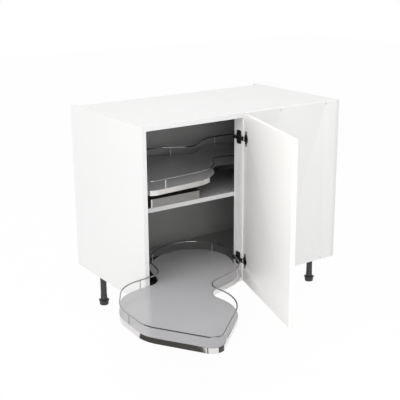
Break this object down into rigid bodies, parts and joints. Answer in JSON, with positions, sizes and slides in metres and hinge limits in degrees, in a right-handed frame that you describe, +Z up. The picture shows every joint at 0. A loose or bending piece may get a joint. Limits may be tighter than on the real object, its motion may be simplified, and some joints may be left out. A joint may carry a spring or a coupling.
{
  "type": "corner base cabinet",
  "caption": "White blind-corner kitchen base cabinet on black legs: hinged door, fixed blind panel, shelf, and kidney-shaped swing-out trays with chrome rails on swing arms.",
  "frame": {"origin": "centre of the sole of the front left levelling foot, on the floor", "axes": "+X along the front to the right, +Y into the cabinet, +Z up"},
  "size_m": [1.2334, 1.1756, 0.87],
  "materials": {
    "white_board": "smooth white melamine facing",
    "hinge_black": "black plated steel",
    "zinc_steel": "zinc plated",
    "beech": "plain",
    "leg_black": "moulded black plastic",
    "door_board": "smooth warm white facing",
    "base_black": "moulded black plastic",
    "brushed_front": "brushed grey",
    "chrome_trim": "polished",
    "arm_black": "black powder coat",
    "tray_grey": "satin light grey facing"
  },
  "bodies": {
    "carcass": {"left_side": "white_board", "right_side": "white_board", "top_panel": "white_board", "floor_panel": "white_board", "back_panel": "white_board", "hinge_stile": "white_board", "blind_panel": "white_board", "panel_screws": "hinge_black", "shelf": "white_board", "shelf_pins": "zinc_steel", "carcass_dowels": "beech", "leg_plates": "leg_black", "leg_tubes": "leg_black", "hinge_plate_lower": "hinge_black", "hinge_plate_upper": "hinge_black", "hinge_arm_lower": "hinge_black", "hinge_arm_upper": "hinge_black", "base_unit_upper": "base_black", "base_front_upper": "brushed_front", "base_trim_upper": "chrome_trim", "base_pin_upper": "zinc_steel", "base_unit_lower": "base_black", "base_front_lower": "brushed_front", "base_trim_lower": "chrome_trim", "base_pin_lower": "zinc_steel"},
    "door": {"door": "door_board", "hinge_cup_lower": "hinge_black", "hinge_cup_upper": "hinge_black", "hinge_lever_lower": "hinge_black", "hinge_lever_upper": "hinge_black"},
    "upper_swing_arm": {"swing_arm_upper": "arm_black", "elbow_pin_upper": "zinc_steel"},
    "upper_link_arm": {"link_arm_upper": "arm_black"},
    "upper_tray": {"tray_pivot_upper": "zinc_steel", "tray_board_upper": "tray_grey", "tray_band_upper": "chrome_trim", "tray_rail_upper": "chrome_trim", "rail_posts_upper": "chrome_trim"},
    "lower_swing_arm": {"swing_arm_lower": "arm_black", "elbow_pin_lower": "zinc_steel"},
    "lower_link_arm": {"link_arm_lower": "arm_black"},
    "lower_tray": {"tray_pivot_lower": "zinc_steel", "tray_board_lower": "tray_grey", "tray_band_lower": "chrome_trim", "tray_rail_lower": "chrome_trim", "rail_posts_lower": "chrome_trim"},
    "foot_front_left": {"foot_front_left": "leg_black"},
    "foot_front_right": {"foot_front_right": "leg_black"},
    "foot_back_left": {"foot_back_left": "leg_black"},
    "foot_back_right": {"foot_back_right": "leg_black"}
  },
  "joints": [
    {"name": "door_hinge", "type": "hinge", "parent": "carcass", "child": "door", "pos_m": [0.447, -0.13, 0.51], "axis": [0, 0, 1], "range_deg": [-20, 35]},
    {"name": "upper_arm_swing", "type": "hinge", "parent": "carcass", "child": "upper_swing_arm", "pos_m": [0.0874, 0.1812, 0.569], "axis": [0, 0, -1], "range_deg": [0, 18.5]},
    {"name": "upper_elbow", "type": "hinge", "parent": "upper_swing_arm", "child": "upper_link_arm", "pos_m": [0.2775, 0.3726, 0.576], "axis": [0, 0, -1], "range_deg": [0, 15.8]},
    {"name": "upper_tray_turn", "type": "hinge", "parent": "upper_link_arm", "child": "upper_tray", "pos_m": [0.4704, 0.1589, 0.576], "axis": [0, 0, 1], "range_deg": [0, 73.2]},
    {"name": "lower_arm_swing", "type": "hinge", "parent": "carcass", "child": "lower_swing_arm", "pos_m": [0.0874, 0.1812, 0.206], "axis": [0, 0, 1], "range_deg": [0, 20]},
    {"name": "lower_elbow", "type": "hinge", "parent": "lower_swing_arm", "child": "lower_link_arm", "pos_m": [0.28875, 0.00167, 0.213], "axis": [0, 0, -1], "range_deg": [0, 14.3]},
    {"name": "lower_tray_turn", "type": "hinge", "parent": "lower_link_arm", "child": "lower_tray", "pos_m": [0.11261, -0.22605, 0.213], "axis": [0, 0, 1], "range_deg": [0, 18.8]},
    {"name": "foot_front_left_screw", "type": "slide", "parent": "carcass", "child": "foot_front_left", "axis": [0, 0, -1], "range_m": [0, 0.02]},
    {"name": "foot_front_right_screw", "type": "slide", "parent": "carcass", "child": "foot_front_right", "axis": [0, 0, -1], "range_m": [0, 0.02]},
    {"name": "foot_back_left_screw", "type": "slide", "parent": "carcass", "child": "foot_back_left", "axis": [0, 0, -1], "range_m": [0, 0.02]},
    {"name": "foot_back_right_screw", "type": "slide", "parent": "carcass", "child": "foot_back_right", "axis": [0, 0, -1], "range_m": [0, 0.02]}
  ],
  "couplings": [
    {"joint": "upper_elbow", "follows": "upper_arm_swing", "ratio": 0.84906},
    {"joint": "upper_tray_turn", "follows": "upper_arm_swing", "ratio": 3.9515},
    {"joint": "lower_elbow", "follows": "lower_arm_swing", "ratio": 0.71044},
    {"joint": "lower_tray_turn", "follows": "lower_arm_swing", "ratio": 0.93704}
  ]
}
